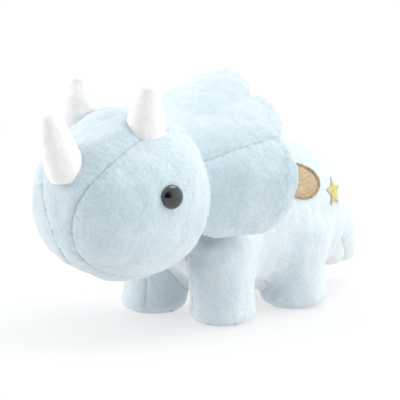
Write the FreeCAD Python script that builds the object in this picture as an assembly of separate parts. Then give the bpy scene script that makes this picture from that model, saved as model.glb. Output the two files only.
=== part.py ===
"""A sewn plush horned dinosaur, standing on four stubby legs, built the way it is sewn.

Skin panels of short-pile plush close over loose fibre filling. The head and the tail each turn on a
round wad of filling, so a hand can tilt them. The padded frill is sewn firmly to the back of the head.
Millimetres. The nose points to -Y, the toy's left is +X and +Z is up. The origin is on the floor under
the middle of the whole toy.
"""

import math
import os

import FreeCAD
import Part
from FreeCAD import Vector

# ---- Driving dimensions ------------------------------------------------------------------------
SKIN = 2.0  # plush fabric with its pile pressed flat
FRILL_SKIN = 1.6
LAYER_GAP = 0.2  # between a skin and the filling behind it
FRILL_SPLIT = 0.4  # between the frill's front and back skins along its edge
FRILL_CORE_GAP = 0.7  # between the frill's skins and its batting
BODY_GAP = 0.4  # between two pieces that move past each other
PANEL_GAP = 0.1  # between the cut edges of two panels sewn together

HEAD_CENTRE = Vector(0, -79.5, 93)
HEAD_HALF = Vector(58.5, 63.0, 57.5)  # half width, half length, half height
HEAD_BACK_Y = -41.0  # where the crowned back of the head ends
HEAD_BACK_CROWN = 200.0  # radius of that crown
HEAD_SEAM_Y = -47.5  # seam between the back of the head and its sides

# Head gusset: half width at each height, from under the chin up to the crown.
GUSSET = [
    (20, 60),
    (34, 42),
    (38, 27),
    (43, 16),
    (52, 9.5),
    (66, 8.5),
    (82, 11),
    (98, 17),
    (114, 26),
    (128, 33),
    (142, 35),
    (170, 35),
]

NECK = Vector(0, -38, 85)
NECK_WAD_R = 29.0
TAIL_ROOT = Vector(0, 95, 55)
TAIL_WAD_R = 22.0
TAIL_SWEEP_R = 37.0
TAIL_SWING = math.radians(20)  # room for the tail to swing on its wad

# Torso sections: y, centre height, half width, half height.
TORSO = [
    (-34, 80, 30, 30),
    (-26, 73, 38, 38.5),
    (-10, 66, 44.5, 45.5),
    (15, 64, 48.5, 49),
    (43, 65, 50, 51.5),
    (67, 65.5, 49, 51.5),
    (87, 64, 46, 47.5),
    (102, 61, 38, 39.5),
    (112, 57.5, 27, 29.5),
]
TORSO_SQUARENESS = 2.25  # superellipse exponent; 2 is an ellipse

LEG_X = 31.0
LEG_FRONT_Y = -16.5
LEG_REAR_Y = 60.0
LEG_R = 22.0
LEG_TOP_Z = 66.0
LEG_DOME = 34.0  # height of the rounded top that sinks into the torso
SOLE_R = 18.5
SOLE_ROLL_HIGH = 10.0  # height of the rounded edge above the sole
SOLE_CUT_R = 18.0  # the flat oval sewn in under each foot

BELLY_HALF_WIDTH = 34.0
BELLY_TOP_Z = 44.0

# Tail sections along its drooping axis: y, z, radius.
TAIL = [(98, 58, 33), (111, 49, 28.5), (125, 39, 21.5), (139, 29, 13.5), (150, 21, 7), (155, 17.5, 3.5)]
TAIL_DROOP = math.radians(38)

# Frill sections from its lower corner up to the top: angle round the back of the head, length,
# lean back, half thickness. It is thin where two lobes are stitched apart.
FRILL = [
    (-37, 8, 58, 2.4),
    (-30, 18, 56, 3.6),
    (-21, 34, 52, 4.6),
    (-11, 45, 48, 5.0),
    (0, 51, 46, 5.0),
    (11, 54, 47, 4.9),
    (19, 51, 50, 4.2),
    (26, 49, 56, 3.2),
    (34, 56, 63, 4.3),
    (45, 63, 71, 5.0),
    (56, 65, 75, 4.4),
    (65, 62, 77, 3.4),
    (76, 70, 75, 4.7),
    (90, 74, 73, 5.0),
]
LOBE_SEAM = 27.0  # angle of the seam between the upper frill and each lower lobe
FRILL_ROOT_R = 49.5
FRILL_ROOT_Y = -45.0
# Frill profile: share of the length, share of the half thickness.
FRILL_PROFILE = [(0.0, 0.72), (0.2, 0.94), (0.45, 1.0), (0.7, 0.94), (0.88, 0.74), (0.97, 0.4), (1.0, 0.0)]

# Horns: middle of the base, tip, base radius.
HORNS = {
    "nose_horn": (Vector(0, -137, 118), Vector(0, -156, 152), 12.5),
    "brow_horn_left": (Vector(27, -88, 139), Vector(33, -93, 168), 12.5),
    "brow_horn_right": (Vector(-27, -88, 139), Vector(-33, -93, 168), 12.5),
}
HORN_ROOT = 7.0  # how far a horn's axis starts below its base
# Horn profile: share of the base radius, share of the length.
HORN_PROFILE = [(1.0, 0.0), (0.97, 0.2), (0.76, 0.46), (0.5, 0.72), (0.27, 0.91), (0.0, 1.0)]

EYE_R = 8.0
EYE_HIGH = 4.6
EYE_TURN = math.radians(76)  # round the head's ellipse from the nose
EYE_Z = 98.5
STEM_R = 2.2
STEM_LONG = 6.5
WASHER_R = 8.0
WASHER_DEPTH = 2.9
WASHER_THICK = 1.4

PATCH = (49, 90, 17, 10.5, -10)  # satin patch: y, z, half length, half height, tilt in degrees
PATCH_THICK = 0.8
BORDER_WIDTH = 1.6
BORDER_THICK = 1.3
STAR = (86, 78, 10.5)  # embroidered star on the left hip: y, z, outer radius
STAR_INNER = 0.5
STAR_POINTS = 5
THREAD_THICK = 0.9

FAR = 400.0
parts = {}


# ---- Small helpers -----------------------------------------------------------------------------
def box(x0, x1, y0, y1, z0, z1):
    return Part.makeBox(x1 - x0, y1 - y0, z1 - z0, Vector(x0, y0, z0))


def ellipsoid(centre, half):
    """A closed ellipsoid with these half sizes, its poles fore and aft."""
    matrix = FreeCAD.Matrix()
    matrix.scale(half.x, half.y, half.z)
    matrix.move(centre)
    return Part.makeSphere(1, Vector(0, 0, 0), Vector(0, -1, 0)).transformGeometry(matrix)


def smooth_loop(points):
    curve = Part.BSplineCurve()
    curve.interpolate(points, PeriodicFlag=True)
    return Part.Wire([curve.toShape()])


def smooth_line(points):
    curve = Part.BSplineCurve()
    curve.interpolate(points)
    return curve.toShape()


def mirrored(shape):
    return shape.mirror(Vector(0, 0, 0), Vector(1, 0, 0))


def largest(shape):
    """The shape's largest solid, without slivers that a cut leaves."""
    return max(shape.Solids, key=lambda solid: solid.Volume)


def save(name, shape):
    parts[name] = shape


# ---- Outer forms -------------------------------------------------------------------------------
def head_form(inset=0.0):
    half = HEAD_HALF - Vector(inset, inset, inset)
    crown = Part.makeSphere(
        HEAD_BACK_CROWN - inset, Vector(0, HEAD_BACK_Y - HEAD_BACK_CROWN, HEAD_CENTRE.z)
    )
    return ellipsoid(HEAD_CENTRE, half).common(crown)


def torso_ring(y, centre_z, half_width, half_height):
    count = 16
    points = []
    for step in range(count):
        turn = 2 * math.pi * step / count
        across, up = math.cos(turn), math.sin(turn)
        reach = (abs(across) ** TORSO_SQUARENESS + abs(up) ** TORSO_SQUARENESS) ** (-1 / TORSO_SQUARENESS)
        points.append(Vector(half_width * reach * across, y, centre_z + half_height * reach * up))
    return smooth_loop(points)


def trunk_form(inset=0.0):
    """The barrel of the torso; its two ends also step in by the inset."""
    rings = []
    for index, (y, centre_z, half_width, half_height) in enumerate(TORSO):
        step = inset if index == 0 else -inset if index == len(TORSO) - 1 else 0
        rings.append(torso_ring(y + step, centre_z, half_width - inset, half_height - inset))
    return Part.makeLoft(rings, True)


def leg_form(x, y, inset=0.0):
    """A stub leg with a rolled lower edge and a domed top that sinks into the torso."""
    r = LEG_R - inset
    sole_r = SOLE_R - inset
    bottom = inset
    roll = Part.Arc(
        Vector(sole_r, 0, bottom), Vector(r - 1.2, 0, bottom + 3), Vector(r, 0, bottom + SOLE_ROLL_HIGH)
    ).toShape()
    shoulder = Vector(r * 0.74, 0, LEG_TOP_Z - 9)
    dome = Part.Arc(Vector(r, 0, LEG_TOP_Z - LEG_DOME), shoulder, Vector(0, 0, LEG_TOP_Z - inset)).toShape()
    profile = Part.Wire(
        [
            Part.makeLine(Vector(0, 0, bottom), Vector(sole_r, 0, bottom)),
            roll,
            Part.makeLine(Vector(r, 0, bottom + SOLE_ROLL_HIGH), Vector(r, 0, LEG_TOP_Z - LEG_DOME)),
            dome,
            Part.makeLine(Vector(0, 0, LEG_TOP_Z - inset), Vector(0, 0, bottom)),
        ]
    )
    leg = Part.Face(profile).revolve(Vector(0, 0, 0), Vector(0, 0, 1), 360)
    leg.translate(Vector(x, y, 0))
    return leg


LEG_PLACES = {
    "front_left": (LEG_X, LEG_FRONT_Y),
    "front_right": (-LEG_X, LEG_FRONT_Y),
    "rear_left": (LEG_X, LEG_REAR_Y),
    "rear_right": (-LEG_X, LEG_REAR_Y),
}


def torso_form(inset=0.0):
    """Trunk and legs as one form, with round hollows where the neck and tail wads sit."""
    form = trunk_form(inset).cut(behind_tail_root(inset))
    for x, y in LEG_PLACES.values():
        form = form.fuse(leg_form(x, y, inset).cut(tail_sweep(inset)))
    form = form.cut(Part.makeSphere(NECK_WAD_R + BODY_GAP + inset, NECK))
    return largest(form.cut(Part.makeSphere(TAIL_WAD_R + BODY_GAP + inset, TAIL_ROOT)))


def tail_direction():
    return Vector(0, math.cos(TAIL_DROOP), -math.sin(TAIL_DROOP))


def behind_tail_root(inset=0.0):
    """Everything behind the plane through the tail's pivot, square to the tail."""
    block = Part.makeBox(FAR, FAR, FAR, Vector(-FAR / 2, -FAR / 2, -inset))
    block.Placement = FreeCAD.Placement(TAIL_ROOT, FreeCAD.Rotation(Vector(0, 0, 1), tail_direction()))
    return block


def tail_sweep(inset=0.0):
    """The room that the tail's thick end swings through."""
    start = TAIL_ROOT - tail_direction() * inset
    return Part.makeCylinder(TAIL_SWEEP_R + inset, FAR, start, tail_direction())


def tail_form(inset=0.0):
    """A drooping cone whose open end is cut back so that the tail can swing on its wad."""
    rings = []
    for y, z, radius in TAIL:
        circle = Part.Circle(Vector(0, y, z), tail_direction(), max(radius - inset, 0.8))
        rings.append(Part.Wire([circle.toShape()]))
    form = Part.makeLoft(rings, True)
    reach = 80.0
    wide = reach * math.tan(math.pi / 2 - TAIL_SWING)
    cone = Part.makeCone(0, wide, reach, TAIL_ROOT + tail_direction() * inset, tail_direction())
    form = form.common(cone)
    return form.cut(Part.makeSphere(TAIL_WAD_R + BODY_GAP + inset, TAIL_ROOT))


def horn_form(base, tip, base_r, inset=0.0):
    axis = tip - base
    length = axis.Length
    unit = axis.normalize()
    reach = length - inset * 1.6
    root_r = base_r - inset
    points = [Vector(share_r * root_r, 0, share_z * reach) for share_r, share_z in HORN_PROFILE]
    profile = Part.Wire(
        [
            smooth_line(points),
            Part.makeLine(Vector(0, 0, reach), Vector(0, 0, -HORN_ROOT)),
            Part.makeLine(Vector(0, 0, -HORN_ROOT), Vector(root_r, 0, -HORN_ROOT)),
            Part.makeLine(Vector(root_r, 0, -HORN_ROOT), Vector(root_r, 0, 0)),
        ]
    )
    horn = Part.Face(profile).revolve(Vector(0, 0, 0), Vector(0, 0, 1), 360)
    horn.Placement = FreeCAD.Placement(base, FreeCAD.Rotation(Vector(0, 0, 1), unit))
    return horn


def frill_sections():
    """The frill's sections right round, from the left lower corner over the top to the right one."""
    left = list(FRILL)
    right = [(180 - angle, length, lean, thick) for angle, length, lean, thick in reversed(FRILL[:-1])]
    return left + right


def frill_curve(section, depth, sign):
    """Points along one face of the frill at a depth under it; sign +1 is the front face."""
    angle, length, lean, thick = section
    turn, tilt = math.radians(angle), math.radians(lean)
    radial = Vector(math.cos(turn), 0, math.sin(turn))
    back = Vector(0, 1, 0)
    out = radial * math.cos(tilt) + back * math.sin(tilt)
    front = radial * math.sin(tilt) - back * math.cos(tilt)
    root = Vector(0, FRILL_ROOT_Y, HEAD_CENTRE.z) + radial * FRILL_ROOT_R
    reach = length - depth * 1.3
    half = max(thick - depth, 0.4)
    points = []
    for along, rise in FRILL_PROFILE:
        points.append(root + out * (along * reach) + front * (sign * (half * rise + FRILL_SPLIT / 2)))
    return points


def frill_layer(top_depth, top_sign, low_depth, low_sign):
    """The loft between two faces of the frill, right round the head."""
    wires = []
    for section in frill_sections():
        top = frill_curve(section, top_depth, top_sign)
        low = frill_curve(section, low_depth, low_sign)
        wires.append(
            Part.Wire(
                [
                    smooth_line(top),
                    Part.makeLine(top[-1], low[-1]),
                    smooth_line(low[::-1]),
                    Part.makeLine(low[0], top[0]),
                ]
            )
        )
    return Part.makeLoft(wires, True)


# ---- Head --------------------------------------------------------------------------------------
def gusset_prism(grow=0.0):
    """The head's centre panel seen from the front, from under the chin to over the crown."""
    right = [Vector(width + grow, 0, z) for z, width in GUSSET]
    left = [Vector(-width - grow, 0, z) for z, width in reversed(GUSSET)]
    wire = Part.Wire(
        [
            smooth_line(right),
            Part.makeLine(right[-1], left[0]),
            smooth_line(left),
            Part.makeLine(left[-1], right[0]),
        ]
    )
    prism = Part.Face(wire).extrude(Vector(0, FAR, 0))
    prism.translate(Vector(0, -FAR / 2, 0))
    return prism


def build_head():
    outer = head_form()
    neck_pocket = Part.makeSphere(NECK_WAD_R + BODY_GAP, NECK)
    eyes = {"left": eye_tools(1), "right": eye_tools(-1)}
    skin = outer.cut(head_form(SKIN)).cut(neck_pocket)
    front = skin.common(box(-FAR, FAR, -FAR, HEAD_SEAM_Y - PANEL_GAP, -FAR, FAR))
    save("head_back_panel", largest(skin.common(box(-FAR, FAR, HEAD_SEAM_Y, FAR, -FAR, FAR))))
    save("head_gusset", largest(front.common(gusset_prism())))
    cheeks = front.cut(gusset_prism(PANEL_GAP))
    filling = head_form(SKIN + LAYER_GAP).cut(neck_pocket)
    for side, sign in (("left", 1), ("right", -1)):
        dome, stem, stem_hole, washer, washer_hole = eyes[side]
        half = box(0, FAR, -FAR, FAR, -FAR, FAR) if sign > 0 else box(-FAR, 0, -FAR, FAR, -FAR, FAR)
        save("head_cheek_" + side, largest(cheeks.common(half).cut(stem_hole)))
        save("eye_" + side, dome.cut(outer).fuse(stem))
        save("eye_washer_" + side, washer)
        filling = filling.cut(washer_hole).cut(stem_hole)
    save("head_stuffing", largest(filling))
    for name, (base, tip, base_r) in HORNS.items():
        horn = horn_form(base, tip, base_r)
        save(name, largest(horn.cut(horn_form(base, tip, base_r, SKIN)).cut(outer)))
        save(name + "_stuffing", largest(horn_form(base, tip, base_r, SKIN + LAYER_GAP).cut(outer)))
    build_frill(outer)


def eye_tools(sign):
    """A safety eye set square on the cheek: dome, stem, stem hole, washer, washer hole."""
    share = math.sqrt(1 - ((EYE_Z - HEAD_CENTRE.z) / HEAD_HALF.z) ** 2)
    x = HEAD_HALF.x * share * math.sin(EYE_TURN)
    y = -HEAD_HALF.y * share * math.cos(EYE_TURN)
    seat = HEAD_CENTRE + Vector(sign * x, y, EYE_Z - HEAD_CENTRE.z)
    out = Vector(sign * x / HEAD_HALF.x**2, y / HEAD_HALF.y**2, (EYE_Z - HEAD_CENTRE.z) / HEAD_HALF.z**2)
    out.normalize()
    sunk = 1.0
    high = EYE_HIGH + sunk
    ball_r = (EYE_R**2 + high**2) / (2 * high)
    base = seat - out * sunk
    dome = Part.makeSphere(ball_r, base + out * (high - ball_r)).common(
        Part.makeCylinder(EYE_R + 1, high + 1, base, out)
    )
    inward = out * -1
    stem = Part.makeCylinder(STEM_R, STEM_LONG + 0.5, seat + out * 0.5, inward)
    stem_hole = Part.makeCylinder(STEM_R + LAYER_GAP / 2, STEM_LONG + 2, seat + out, inward)
    washer_seat = seat + inward * WASHER_DEPTH
    washer = Part.makeCylinder(WASHER_R, WASHER_THICK, washer_seat, inward).cut(stem_hole)
    washer_hole = Part.makeCylinder(
        WASHER_R + LAYER_GAP, WASHER_THICK + 2 * LAYER_GAP, washer_seat - inward * LAYER_GAP, inward
    )
    return dome, stem, stem_hole, washer, washer_hole


def frill_wedge(start, end):
    """A wedge of space round the head's axis between two angles."""
    apex = Vector(0, -FAR / 2, HEAD_CENTRE.z)
    corners = [apex]
    steps = 4
    for step in range(steps + 1):
        turn = math.radians(start + (end - start) * step / steps)
        corners.append(apex + Vector(math.cos(turn), 0, math.sin(turn)) * FAR)
    return Part.Face(Part.makePolygon(corners + [apex])).extrude(Vector(0, FAR, 0))


def build_frill(head):
    shave = 0.06  # degrees between neighbouring panels
    wedges = {
        "left": frill_wedge(-75, LOBE_SEAM - shave),
        "upper": frill_wedge(LOBE_SEAM, 180 - LOBE_SEAM),
        "right": frill_wedge(180 - LOBE_SEAM + shave, 255),
    }
    core = FRILL_SKIN + FRILL_CORE_GAP
    layers = {
        "front": frill_layer(0, 1, FRILL_SKIN, 1),
        "back": frill_layer(0, -1, FRILL_SKIN, -1),
        "batting": frill_layer(core, 1, core, -1),
    }
    for layer, form in layers.items():
        form = form.cut(head)
        for part_name, wedge in wedges.items():
            save("frill_{}_{}".format(part_name, layer), largest(form.common(wedge)))


# ---- Torso -------------------------------------------------------------------------------------
def leg_column(x, y, r):
    return Part.makeCylinder(r, FAR, Vector(x, y, -FAR / 2))


def build_torso():
    skin = torso_form().cut(torso_form(SKIN))
    filling_inset = SKIN + LAYER_GAP
    under = box(-BELLY_HALF_WIDTH, BELLY_HALF_WIDTH, -FAR, FAR, -FAR, BELLY_TOP_Z)
    sides = skin
    belly = skin.common(under)
    for name, (x, y) in LEG_PLACES.items():
        column = leg_column(x, y, LEG_R + 1)
        inner_half = box(-LEG_X, LEG_X, -FAR, FAR, -FAR, FAR)
        disc = leg_column(x, y, SOLE_CUT_R)
        low = box(-FAR, FAR, -FAR, FAR, -FAR, SKIN + 1)
        inner = skin.common(column).common(inner_half).common(under)
        sole = skin.common(disc).common(low)
        save("sole_" + name, largest(sole))
        hole = leg_column(x, y, SOLE_CUT_R + PANEL_GAP).common(low)
        save("inner_leg_" + name, largest(inner.cut(hole)))
        belly = belly.cut(leg_column(x, y, LEG_R + 1 + PANEL_GAP))
        sides = sides.cut(hole)
        leg = leg_form(x, y, filling_inset).cut(tail_sweep(filling_inset))
        save("leg_stuffing_" + name, largest(leg.cut(trunk_form(filling_inset - LAYER_GAP))))
    save("belly_panel", largest(belly))
    grown = box(
        -BELLY_HALF_WIDTH - PANEL_GAP, BELLY_HALF_WIDTH + PANEL_GAP, -FAR, FAR, -FAR, BELLY_TOP_Z + PANEL_GAP
    )
    outer_halves = box(LEG_X + PANEL_GAP, FAR, -FAR, FAR, -FAR, FAR)
    outer_halves = outer_halves.fuse(mirrored(outer_halves))
    leg_outer = None
    for x, y in LEG_PLACES.values():
        piece = leg_column(x, y, LEG_R + 1).common(outer_halves)
        leg_outer = piece if leg_outer is None else leg_outer.fuse(piece)
    sides = sides.cut(grown.cut(leg_outer))
    save("body_side_left", largest(sides.common(box(PANEL_GAP / 2, FAR, -FAR, FAR, -FAR, FAR))))
    save("body_side_right", largest(sides.common(box(-FAR, -PANEL_GAP / 2, -FAR, FAR, -FAR, FAR))))
    filling = trunk_form(filling_inset)
    filling = filling.cut(Part.makeSphere(NECK_WAD_R + BODY_GAP + filling_inset, NECK))
    filling = filling.cut(Part.makeSphere(TAIL_WAD_R + BODY_GAP + filling_inset, TAIL_ROOT))
    save("torso_stuffing", largest(filling.cut(behind_tail_root(filling_inset))))
    build_trims()


def oval_prism(half_long, half_high):
    y, z, _, _, tilt = PATCH
    oval = Part.Ellipse(Vector(0, 0, 0), half_long, half_high)
    face = Part.Face(Part.Wire([oval.toShape()]))
    face.rotate(Vector(0, 0, 0), Vector(0, 0, 1), tilt)
    face.rotate(Vector(0, 0, 0), Vector(1, 0, 0), 90)
    face.rotate(Vector(0, 0, 0), Vector(0, 0, 1), 90)
    face.translate(Vector(0, y, z))
    return face.extrude(Vector(FAR, 0, 0))


def star_prism():
    y, z, outer = STAR
    corners = []
    for step in range(2 * STAR_POINTS):
        reach = outer if step % 2 == 0 else outer * STAR_INNER
        turn = math.pi * step / STAR_POINTS
        corners.append(Vector(0, y + reach * math.sin(turn), z + reach * math.cos(turn)))
    return Part.Face(Part.makePolygon(corners + [corners[0]])).extrude(Vector(FAR, 0, 0))


def build_trims():
    """The satin patches with their stitched borders, and the embroidered star."""
    trunk = trunk_form()
    half_long, half_high = PATCH[2], PATCH[3]
    inner = oval_prism(half_long, half_high)
    outer = oval_prism(half_long + BORDER_WIDTH, half_high + BORDER_WIDTH)
    patch = largest(trunk_form(-PATCH_THICK).common(inner).cut(trunk))
    border = largest(trunk_form(-BORDER_THICK).common(outer.cut(inner)).cut(trunk))
    save("patch_left", patch)
    save("patch_right", mirrored(patch))
    save("patch_border_left", border)
    save("patch_border_right", mirrored(border))
    save("hip_star", largest(trunk_form(-THREAD_THICK).common(star_prism()).cut(trunk)))


# ---- Neck and tail -----------------------------------------------------------------------------
def build_wad(name, centre, wad_r, axis):
    """A round wad of filling in a sleeve of plush, the soft ball a neighbour turns on."""
    sleeve_half = wad_r * 0.75
    band = Part.makeCylinder(FAR, 2 * sleeve_half, centre - axis * sleeve_half, axis)
    sleeve = Part.makeSphere(wad_r, centre).cut(Part.makeSphere(wad_r - SKIN, centre)).common(band)
    save(name + "_sleeve", sleeve)
    save(name + "_wad", Part.makeSphere(wad_r - SKIN - LAYER_GAP / 2, centre))


def build_tail():
    outer = tail_form()
    skin = outer.cut(tail_form(SKIN))
    above = Part.makeBox(FAR, FAR, FAR, Vector(-FAR / 2, PANEL_GAP / 2, -FAR / 2))
    below = Part.makeBox(FAR, FAR, FAR, Vector(-FAR / 2, -FAR - PANEL_GAP / 2, -FAR / 2))
    start = Vector(0, TAIL[0][0], TAIL[0][1])
    up = Vector(0, math.sin(TAIL_DROOP), math.cos(TAIL_DROOP))
    frame = FreeCAD.Placement(start, FreeCAD.Rotation(Vector(1, 0, 0), up, tail_direction(), "XYZ"))
    for block in (above, below):
        block.Placement = frame
    save("tail_skin_top", largest(skin.common(above)))
    save("tail_skin_under", largest(skin.common(below)))
    save("tail_stuffing", largest(tail_form(SKIN + LAYER_GAP)))


build_head()
build_torso()
build_wad("neck", NECK, NECK_WAD_R, Vector(0, 1, 0))
build_wad("tail_root", TAIL_ROOT, TAIL_WAD_R, tail_direction())
build_tail()

os.makedirs("parts", exist_ok=True)
for name, shape in sorted(parts.items()):
    shape.exportStep("parts/" + name + ".step")
    print("{:26s} {:9.0f} mm3  {}".format(name, shape.Volume, "ok" if shape.isValid() else "INVALID"))
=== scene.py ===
"""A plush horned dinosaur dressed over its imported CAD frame.

Each fabric panel is its own mesh. The head and the torso are first made as one smooth stuffed form,
which is then cut along its seams: the panels pull in at the stitching and swell between it. The
padded frill is lofted from its sections, and the horns are turned cones with a little wobble.
Shapes are worked out in millimetres in the CAD frame, -Y where the nose points, +X the toy's left and
+Z up, and are written to their meshes in metres.
"""
import math

import bmesh
import bpy
import numpy as np
from mathutils import Matrix, Vector, kdtree
from mathutils.bvhtree import BVHTree


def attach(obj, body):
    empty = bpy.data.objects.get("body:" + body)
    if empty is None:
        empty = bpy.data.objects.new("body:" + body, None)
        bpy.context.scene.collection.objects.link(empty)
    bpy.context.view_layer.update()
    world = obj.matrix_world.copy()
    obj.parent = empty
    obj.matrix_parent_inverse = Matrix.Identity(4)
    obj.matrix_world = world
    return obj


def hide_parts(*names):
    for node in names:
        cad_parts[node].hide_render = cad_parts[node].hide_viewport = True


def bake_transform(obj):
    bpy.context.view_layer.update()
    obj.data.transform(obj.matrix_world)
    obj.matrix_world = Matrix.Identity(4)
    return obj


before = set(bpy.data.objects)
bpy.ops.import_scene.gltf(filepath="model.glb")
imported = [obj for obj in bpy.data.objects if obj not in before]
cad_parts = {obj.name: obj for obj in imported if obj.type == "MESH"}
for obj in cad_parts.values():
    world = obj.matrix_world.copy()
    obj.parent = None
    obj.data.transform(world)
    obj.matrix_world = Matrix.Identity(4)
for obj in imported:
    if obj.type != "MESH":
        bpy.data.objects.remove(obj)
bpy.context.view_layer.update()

MM = 0.001
LAMP_COLOR = (1.0, 0.93, 0.90)
VIEW_WIDTH = 0.2744  # how much of the toy's middle plane the picture spans, in metres
VIEW_AZIMUTH = math.radians(41.5)
VIEW_ELEVATION = math.radians(9.6)
VIEW_DISTANCE = 2.0
# The point looked at, in metres from the origin: across the view to the right, and up.
AIM_ACROSS = -0.0025
AIM_UP = 0.0782

# ---- Driving dimensions, in millimetres ---------------------------------------------------------
SKIN = 2.0

HEAD_CENTRE = np.array([0.0, -79.5, 93.0])
HEAD_HALF = np.array([58.5, 63.0, 57.5])
HEAD_BACK_Y = -41.0
HEAD_CROWN_R = 200.0  # radius the back of the head is domed to
HEAD_SEAM_Y = -52.0
# Head gusset: half width at each height.
GUSSET = [
    (20, 60), (34, 42), (38, 27), (43, 16), (52, 9.5), (66, 8.5), (82, 11), (98, 17), (114, 26), (128, 33),
    (142, 35), (170, 35),
]

# Torso sections: y, centre height, half width, half height.
TRUNK = [
    (-36, 79, 31, 31),
    (-26, 73, 39, 39),
    (-10, 66, 44.5, 45.5),
    (15, 64, 48.5, 49),
    (43, 65, 50, 51.5),
    (67, 65.5, 49, 51.5),
    (87, 64, 46, 47.5),
    (102, 61, 38, 39.5),
    (112, 57.5, 26, 28),
    (119, 54, 0, 0),
]
TRUNK_FRONT_Y = -42.5  # the trunk ends here, with a rounded edge, behind the head
LEG_X = 31.0
LEG_FRONT_Y = -16.5
LEG_REAR_Y = 60.0
LEG_R = 22.0
LEG_TOP = 60.0
SOLE_ROLL = 8.5  # radius of a leg's rolled edges
SOLE_SEAM_Z = 1.2
INNER_LEG_X = 21.0  # where the inner and outer halves of a leg are sewn together
BELLY_HALF_WIDTH = 28.0
BELLY_TOP = 44.0

# Tail sections: y, height, radius.
TAIL = [
    (92, 61, 32),
    (98, 59, 34.5),
    (112, 51, 30.5),
    (126, 41, 24),
    (141, 31, 15.5),
    (153, 23, 8),
    (158, 20, 4.5),
]
TAIL_CUT_Y = 112.0  # where the tail's own panels begin
TAIL_ROOT_Y = 95.0
TAIL_ROOT_Z = 55.0
TAIL_DROOP = math.radians(38)  # how steeply the tail's side seams run down from its root

# Frill sections: angle round the back of the head, length, lean back, half thickness.
FRILL = [
    (-31, 8, 58, 2.4),
    (-26, 21, 56, 3.6),
    (-21, 34, 52, 4.6),
    (-11, 45, 48, 5.0),
    (0, 51, 46, 5.0),
    (11, 54, 47, 4.9),
    (19, 51, 50, 4.2),
    (26, 49, 56, 3.2),
    (34, 56, 63, 4.3),
    (45, 63, 71, 5.0),
    (56, 65, 75, 4.4),
    (65, 62, 77, 3.4),
    (76, 70, 75, 4.7),
    (90, 74, 73, 5.0),
]
FRILL_ROOT_R = 49.5
FRILL_ROOT_Y = -45.0
FRILL_TUCK = 12.0  # how far its root goes on inside the head
LOBE_SEAM = 27.0  # angle where a lower lobe is sewn to the upper part
LOBE_CREASE = 64.0  # angle of the crease in the upper part
# The right side of the frill is a bit shorter: middle and spread in degrees, share taken off.
SHORT_ANGLE = 125
SHORT_WIDTH = 20
SHORT_SHARE = 0.17

# Horns: middle of the base, tip, base radius.
HORNS = {
    "nose_horn": ((0, -137, 118), (0, -151.5, 155), 12.5),
    "brow_horn_left": ((27, -88, 139), (34, -91, 171), 12.5),
    "brow_horn_right": ((-29, -91, 138.5), (-30, -91, 171), 13.5),
}
# Horn outline: share of the base radius, share of the horn's length.
HORN_PROFILE = [
    (0.95, -0.2),
    (1.02, -0.05),
    (1.02, 0.12),
    (0.92, 0.38),
    (0.77, 0.62),
    (0.57, 0.82),
    (0.5, 0.88),
]
HORN_BEND = 1.1  # scale of a horn's slight bow forward and down

# Oval patch: y and z of its middle, half length, half height, tilt in degrees.
PATCH = (49, 90, 17, 10.5, -10)
# Star: y and z of its middle, radius to its points.
STAR = (86, 78, 10.5)

EYE_TURN = math.radians(76)  # how far round from the nose the eyes sit
EYE_Z = 98.5
EYE_R = 8.0
EYE_HEIGHT = 4.4

NECK_CENTRE = np.array([0, -38.0, 85.0])
NECK_R = 29.0
NECK_END = 0.9  # angle from the ball's widest ring to its flat ends, in radians


# ---- Noise and smooth curves --------------------------------------------------------------------
rng = np.random.default_rng(7)


class Waves:
    """Smooth repeatable noise in space: a sum of cosine waves of about one length."""

    def __init__(self, length, count=24):
        directions = rng.normal(size=(count, 3))
        directions /= np.linalg.norm(directions, axis=1)[:, None]
        lengths = length * rng.uniform(0.6, 1.6, count)
        self.waves = directions * (2 * math.pi / lengths)[:, None]
        self.phases = rng.uniform(0, 2 * math.pi, count)

    def __call__(self, points):
        return np.cos(points @ self.waves.T + self.phases).sum(axis=1) / math.sqrt(len(self.phases) / 2)


def smooth_table(x, xs, ys):
    """Values of a smooth curve through a table, by cubic Hermite pieces."""
    xs, ys = np.asarray(xs, float), np.asarray(ys, float)
    slopes = np.gradient(ys, xs)
    x = np.clip(x, xs[0], xs[-1])
    k = np.clip(np.searchsorted(xs, x) - 1, 0, len(xs) - 2)
    h = xs[k + 1] - xs[k]
    t = (x - xs[k]) / h
    a = (1 + 2 * t) * (1 - t) ** 2
    b = t * (1 - t) ** 2 * h
    c = t * t * (3 - 2 * t)
    d = t * t * (t - 1) * h
    return a * ys[k] + b * slopes[k] + c * ys[k + 1] + d * slopes[k + 1]


def smooth_min(a, b, k):
    """The smaller of two values, rounded off where they are within k of each other."""
    h = np.clip(0.5 + 0.5 * (b - a) / k, 0, 1)
    return b * (1 - h) + a * h - k * h * (1 - h)


# ---- Triangle meshes in numpy -------------------------------------------------------------------
def read_mesh(mesh):
    """A Blender mesh's points and triangles as arrays."""
    mesh.calc_loop_triangles()
    points = np.empty(len(mesh.vertices) * 3)
    mesh.vertices.foreach_get("co", points)
    triangles = np.empty(len(mesh.loop_triangles) * 3, np.int32)
    mesh.loop_triangles.foreach_get("vertices", triangles)
    return points.reshape(-1, 3), triangles.reshape(-1, 3)


def normals_of(points, triangles):
    """The surface's direction at each point, from the triangles round it."""
    a, b, c = (points[triangles[:, i]] for i in range(3))
    face = np.cross(b - a, c - a)
    normals = np.zeros_like(points)
    for i in range(3):
        np.add.at(normals, triangles[:, i], face)
    return normals / np.maximum(np.linalg.norm(normals, axis=1), 1e-12)[:, None]


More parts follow.
